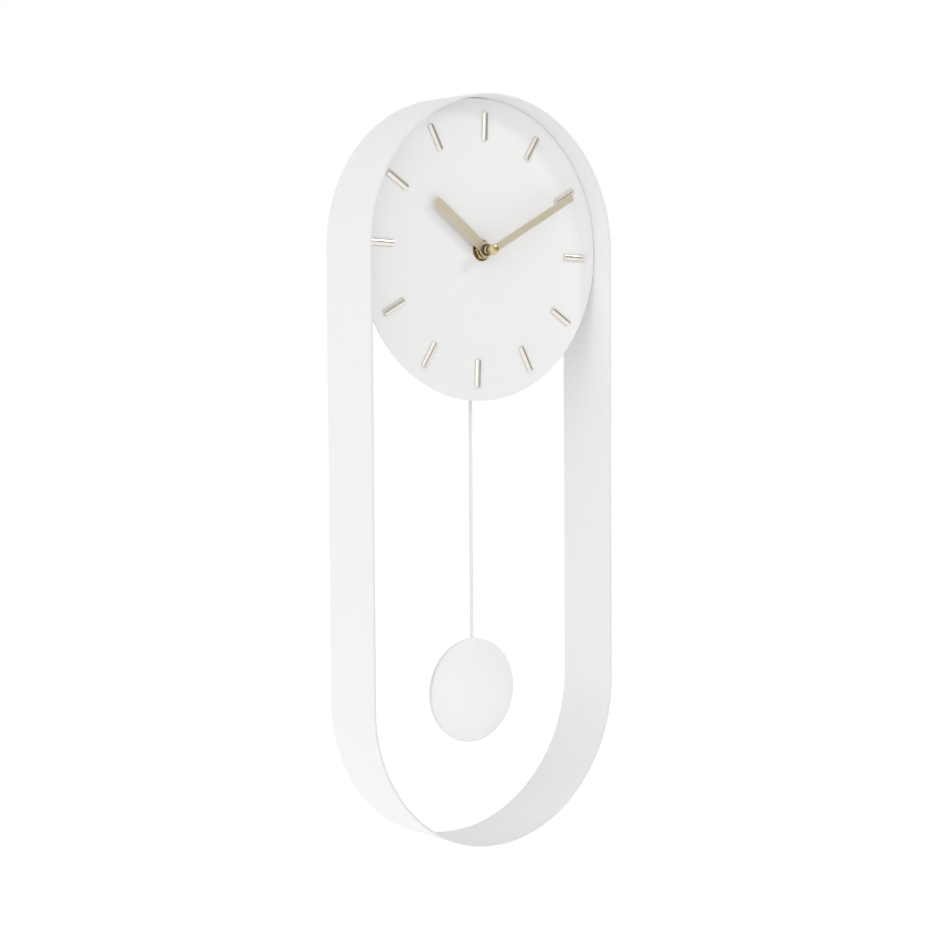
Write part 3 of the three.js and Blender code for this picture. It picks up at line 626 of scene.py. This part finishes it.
def make_dial():
    radius = (dial_high.x - dial_low.x) / 2
    front, back = dial_low.y, dial_low.y + DIAL_SHEET
    corners = [(BUSH_HOLE, front), (radius, front), (radius, back), (BUSH_HOLE, back)]
    bm = spun(soften(corners, 0.5 * MM), True, DIAL_X, DIAL_Z, 192)
    root, tip = front + 0.9 * DIAL_SHEET, dial_high.y
    stud = [(0, root), (STUD_RADIUS, root), (STUD_RADIUS, tip - STUD_CHAMFER),
            (STUD_RADIUS - STUD_CHAMFER, tip), (0, tip)]
    for turn in (0, math.pi / 2, math.pi):
        absorb(bm, spun(stud, False, DIAL_X + STUD_CIRCLE * math.cos(turn),
                        DIAL_Z + STUD_CIRCLE * math.sin(turn), 24))
    piece(bm, "dial_plate", DIAL_COAT)


make_dial()

# %% [markdown]
# ## Flat cut pieces
# Hands, nuts and brackets are flat shapes with a thickness. The outline is filled, drawn out
# to its depth, and its rim is bevelled. A hole is a second outline inside the first.

# %% Cut a plate from outlines
WELD = 0.01 * MM
STEEP = math.radians(60)


def plate(outlines, front, back, edge, turn=None):
    bm = bmesh.new()
    rims = []
    for outline in outlines:
        rims += chain(bm, [(p[0], front, p[1]) for p in outline], True)[1]
    bmesh.ops.triangle_fill(bm, edges=rims, use_beauty=True)
    made = bmesh.ops.extrude_face_region(bm, geom=list(bm.faces))["geom"]
    moved = [v for v in made if isinstance(v, bmesh.types.BMVert)]
    bmesh.ops.translate(bm, verts=moved, vec=(0, back - front, 0))
    bmesh.ops.recalc_face_normals(bm, faces=bm.faces)
    rim = [e for e in bm.edges if e.calc_face_angle(0) > STEEP
           and abs(e.verts[0].co.y - e.verts[1].co.y) < WELD]
    bmesh.ops.bevel(bm, geom=rim, offset=edge, offset_type="OFFSET", segments=3,
                    profile=0.5, affect="EDGES", material=-1)
    if turn:
        bmesh.ops.transform(bm, matrix=turn, verts=bm.verts)
    return bm


def arc(x, z, radius, start, end, steps):
    return [(x + radius * math.cos(start + (end - start) * k / steps),
             z + radius * math.sin(start + (end - start) * k / steps))
            for k in range(steps + 1)]


def circle(radius, x=0, z=0, steps=40):
    return arc(x, z, radius, 0, 2 * math.pi, steps)[:-1]


# %% [markdown]
# ## The hands
# Each hand is stamped from thin aluminium, with a blade of nearly even width. Its hub is a
# disc only a little wider, bored for its arbor. The hour hand's tip is round.

# %% Stamp the two hands
HAND_EDGE = 0.16 * MM
HOUR_BORE = 2.9 * MM
MINUTE_BORE = 1.7 * MM


def make_hand(node, length, hub, bore, root, tip, round_tip, turn, finish):
    low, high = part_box(node)
    start = math.asin(root / hub)
    outline = arc(0, 0, hub, math.pi / 2 + start, 2.5 * math.pi - start, 56)
    if round_tip:
        outline += arc(0, length - tip, tip, 0, math.pi, 20)
    else:
        outline += soften([(tip, length - 2 * tip), (tip, length), (-tip, length),
                           (-tip, length - 2 * tip)], 0.5 * MM, 4, closed=False)
    place = Matrix.Translation((DIAL_X, 0, DIAL_Z)) @ Matrix.Rotation(turn, 4, "Y")
    bm = plate([outline, circle(bore)], low.y, high.y, HAND_EDGE, place)
    piece(bm, node, finish)


make_hand("hour_hand", length=51.6 * MM, hub=4.8 * MM, bore=HOUR_BORE, root=3.6 * MM,
          tip=3.4 * MM, round_tip=True, turn=HOUR_TURN, finish=HOUR_FINISH)
make_hand("minute_hand", length=77.1 * MM, hub=3.7 * MM, bore=MINUTE_BORE, root=2.4 * MM,
          tip=2.5 * MM, round_tip=False, turn=MINUTE_TURN, finish=MINUTE_FINISH)

# %% [markdown]
# ## The markers
# Each marker is a short length of half-round bar, polished. A bright line runs down its
# crown with a dark one on each side, which comes by itself from the curve of the section.
# The section is filled, drawn out to its length and turned to its hour.

# %% Draw the half-round bars
MARKER_WIDTH = 4.6 * MM
MARKER_LENGTH = 17.6 * MM
MARKER_RADIUS = 80.2 * MM
MARKER_EDGE = 0.12 * MM


def make_marker(hour):
    node = "marker_%02d" % hour
    low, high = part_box(node)
    proud = high.y - low.y
    bm = bmesh.new()
    section = [(MARKER_WIDTH / 2 * math.cos(a), high.y - proud * math.sin(a))
               for a in (math.pi * k / 24 for k in range(25))]
    foot = MARKER_RADIUS - MARKER_LENGTH / 2
    verts, edges = chain(bm, [(p[0], p[1], foot) for p in section], True)
    face = bmesh.ops.contextual_create(bm, geom=edges)["faces"]
    made = bmesh.ops.extrude_face_region(bm, geom=face)["geom"]
    moved = [v for v in made if isinstance(v, bmesh.types.BMVert)]
    bmesh.ops.translate(bm, verts=moved, vec=(0, 0, MARKER_LENGTH))
    bmesh.ops.recalc_face_normals(bm, faces=bm.faces)
    ends = [e for e in bm.edges if abs(e.verts[0].co.z - e.verts[1].co.z) < WELD
            and e.calc_face_angle(0) > STEEP]
    bmesh.ops.bevel(bm, geom=ends, offset=MARKER_EDGE, offset_type="OFFSET", segments=2,
                    profile=0.5, affect="EDGES", material=-1)
    turn = 2 * math.pi * hour / 12 + MARKER_TURN
    place = Matrix.Translation((DIAL_X, 0, DIAL_Z)) @ Matrix.Rotation(turn, 4, "Y")
    bmesh.ops.transform(bm, matrix=place, verts=bm.verts)
    piece(bm, node)


for hour in range(1, 13):
    make_marker(hour)

# %% [markdown]
# ## The stack at the centre
# From the dial outwards come a washer, a hexagonal nut on the threaded bush, the collet of
# the hour hand, the collet of the minute hand and a small domed cap. The thread is a row of
# fine rings, since the pitch is too small for the slant of a true helix to be seen.

# %% Washer, nut and threaded bush
def hex_nut(node, bore, edge):
    low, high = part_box(node)
    x, z = (low.x + high.x) / 2, (low.z + high.z) / 2
    corner = (high.x - low.x) / 2
    corners = [(corner * math.cos(math.pi * k / 3), corner * math.sin(math.pi * k / 3))
               for k in range(6)]
    bm = plate([soften(corners, 0.35 * MM, 3), circle(bore)], low.y, high.y, edge,
               Matrix.Translation((x, 0, z)))
    piece(bm, node)


def threaded(node, inner, depth, pitch, finish):
    low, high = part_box(node)
    outer = (high.x - low.x) / 2
    count = int((high.y - low.y - pitch) / pitch)
    profile = [(inner, low.y), (outer - depth, low.y)]
    for k in range(count):
        y = low.y + (k + 0.5) * pitch
        profile += [(outer - depth, y), (outer, y + 0.4 * pitch),
                    (outer, y + 0.6 * pitch)]
    profile += [(outer - depth, high.y), (inner, high.y)]
    piece(spun(profile, True, DIAL_X, DIAL_Z, 64), node, finish)


# The washer and bush are coloured dark, partly as aged brass and partly as painted shade under
# the hands.
washer("brass_washer", BUSH_HOLE, 0.12 * MM, BRASS_AGED_AND_SHADED)
hex_nut("fixing_nut", BUSH_HOLE, 0.25 * MM)
threaded("threaded_bush", inner=3.0 * MM, depth=0.25 * MM, pitch=0.75 * MM,
         finish=BRASS_AGED_AND_SHADED)
washer("rubber_washer", BUSH_HOLE, 0.2 * MM)

# %% Collets and cap
CAP_DOME = 1.1 * MM
CAP_WALL = 0.8 * MM


def make_cap():
    low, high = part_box("cap_nut")
    radius = (high.x - low.x) / 2
    dome = [(radius * math.sin(a), low.y + CAP_DOME * (1 - math.cos(a)))
            for a in (math.pi / 2 * k / 14 for k in range(15))]
    inside = [(radius, high.y), (MINUTE_BORE, high.y), (MINUTE_BORE, low.y + CAP_WALL),
              (0, low.y + CAP_WALL)]
    piece(spun(dome + inside, False, DIAL_X, DIAL_Z, 64), "cap_nut")


# The collets share the dark brass, partly aged and partly painted shade beneath the hands and
# cap.
washer("hour_collet", HOUR_BORE, 0.15 * MM, BRASS_AGED_AND_SHADED, 64)
washer("minute_collet", MINUTE_BORE, 0.2 * MM, BRASS_AGED_AND_SHADED, 64)
make_cap()

# %% [markdown]
# ## The pendulum
# The rod is painted wire with a hook bent at the top, and the paint lies thin on it, so it
# is a shade greyer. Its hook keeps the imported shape, since it passes through the hole in the
# arm, and a copy of that mesh is merged and smoothed. The bob is a pressed disc: a gently
# domed front, a rim 2.4 mm deep, and a flat back closed by a second plate.

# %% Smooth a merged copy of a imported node
FLAT = math.radians(1)


def merged_copy(node):
    bm = bmesh.new()
    bm.from_mesh(frame["nodes"][node].data)
    bmesh.ops.remove_doubles(bm, verts=bm.verts, dist=WELD)
    bmesh.ops.dissolve_limit(bm, angle_limit=FLAT, verts=bm.verts, edges=bm.edges)
    return bm


piece(merged_copy("pendulum_rod"), "pendulum_rod", ROD_COAT)

# %% Press the bob
BOB_WALL = 1.0 * MM
BOB_SKIRT = 2.4 * MM
BOB_CROWN_POWER = 0.75
BOB_ROLL = 0.2 * MM
BOB_STEPS = 48


def make_bob():
    low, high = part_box("bob_front_shell")
    x, z = (low.x + high.x) / 2, (low.z + high.z) / 2
    radius = (high.x - low.x) / 2
    rim_front = high.y - BOB_SKIRT
    crown = rim_front - low.y

    def dome(radius, crown):
        shares = [math.sin(math.pi / 2 * k / BOB_STEPS) for k in range(BOB_STEPS + 1)]
        return [(radius * share, rim_front - crown * (1 - share ** 2) ** BOB_CROWN_POWER)
                for share in shares]

    outer = dome(radius, crown)
    inner = dome(radius - BOB_WALL, crown - BOB_WALL)[::-1]
    rim = [(radius, high.y - BOB_ROLL), (radius - BOB_ROLL, high.y),
           (radius - BOB_WALL, high.y)]
    piece(spun(outer + rim + inner, False, x, z, 128), "bob_front_shell")
    low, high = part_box("bob_back_plate")
    radius = (high.x - low.x) / 2
    corners = [(0, low.y), (radius, low.y), (radius, high.y), (0, high.y)]
    piece(spun(soften(corners, 0.3 * MM, 4, closed=False), False, x, z, 128),
          "bob_back_plate")


make_bob()

# %% [markdown]
# ## The movement
# Seen from behind, the movement is a black moulded box with a battery across it, a setting
# knob and a steel hanger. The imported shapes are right, so a merged copy of each gets a
# small bevel at its corners. The cover is moulded afresh, since a real one has a raised rim
# about the battery bay, a collar about the knob, a low disc over the drive coil and two
# latches.

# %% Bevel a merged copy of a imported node
def bevelled_copy(node, edge):
    bm = merged_copy(node)
    sharp = [e for e in bm.edges if e.is_manifold and e.calc_face_angle(0) > STEEP]
    bmesh.ops.bevel(bm, geom=sharp, offset=edge, offset_type="OFFSET", segments=3,
                    profile=0.5, affect="EDGES", clamp_overlap=True, material=-1)
    piece(bm, node)


for node, edge in (("movement_housing", 0.5), ("hanger_plate", 0.2), ("dial_bracket_left", 0.2),
                   ("dial_bracket_right", 0.2), ("dial_bracket_top", 0.2),
                   ("pendulum_arm", 0.25)):
    bevelled_copy(node, edge * MM)
for side in ("left", "right", "top"):
    hex_nut("bracket_nut_" + side, 1.5 * MM, 0.15 * MM)

# %% Mould the cover
BAY_HALF = 26.5 * MM
BAY_RISE = 7.4 * MM
RIB = 0.5 * MM                      # how far the raised details stand off the cover
RIB_ROOT = 0.2 * MM                 # how far they reach into it
KNOB_HOLE = 2.2 * MM
COLLAR_RADII = (6.9 * MM, 5.7 * MM)
COIL_DISC = 9 * MM
LATCH_X = 19 * MM
LATCH_HALF = 4 * MM


def rectangle(low_x, high_x, low_z, high_z, radius):
    corners = [(low_x, low_z), (high_x, low_z), (high_x, high_z), (low_x, high_z)]
    return soften(corners, radius, 6)


def middle(node):
    low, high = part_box(node)
    return (low + high) / 2


def make_cover():
    low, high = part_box("movement_cover")
    knob = middle("setting_knob")
    cell = middle("battery")
    coil = middle("drive_coil")

    def bay(grow, radius):
        return rectangle(-BAY_HALF - grow, BAY_HALF + grow, cell.z - BAY_RISE - grow,
                         cell.z + BAY_RISE + grow, radius)

    def raise_rib(*outlines):
        absorb(bm, plate(outlines, high.y - RIB_ROOT, high.y + RIB, 0.15 * MM))

    bm = plate([rectangle(low.x, high.x, low.z, high.z, 1.4 * MM), bay(0, 1.2 * MM),
                circle(KNOB_HOLE, knob.x, knob.z)], low.y, high.y, 0.35 * MM)
    raise_rib(bay(1.5 * MM, 2 * MM), bay(0.5 * MM, 1.4 * MM))
    raise_rib(*(circle(radius, knob.x, knob.z, 56) for radius in COLLAR_RADII))
    raise_rib(circle(COIL_DISC, coil.x, coil.z, 64))
    for x in (-LATCH_X, LATCH_X):
        raise_rib(rectangle(x - LATCH_HALF, x + LATCH_HALF, low.z + 1.5 * MM,
                            low.z + 5 * MM, 1 * MM))
    piece(bm, "movement_cover")


make_cover()

# %% Turn the battery and lay it across
NUB_RADIUS = 2.6 * MM
NUB_LENGTH = 1.2 * MM


def make_battery():
    low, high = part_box("battery")
    y, z = (low.y + high.y) / 2, (low.z + high.z) / 2
    radius = (high.y - low.y) / 2
    shoulder = high.x - NUB_LENGTH
    corners = [(0, low.x), (radius, low.x), (radius, shoulder), (NUB_RADIUS, shoulder),
               (NUB_RADIUS, high.x), (0, high.x)]
    bm = spun(soften(corners, 0.6 * MM, 4, closed=False), False, 0, 0, 64)
    lay = Matrix.Translation((0, y, z)) @ Matrix.Rotation(-math.pi / 2, 4, "Z")
    bmesh.ops.transform(bm, matrix=lay, verts=bm.verts)
    piece(bm, "battery")


make_battery()
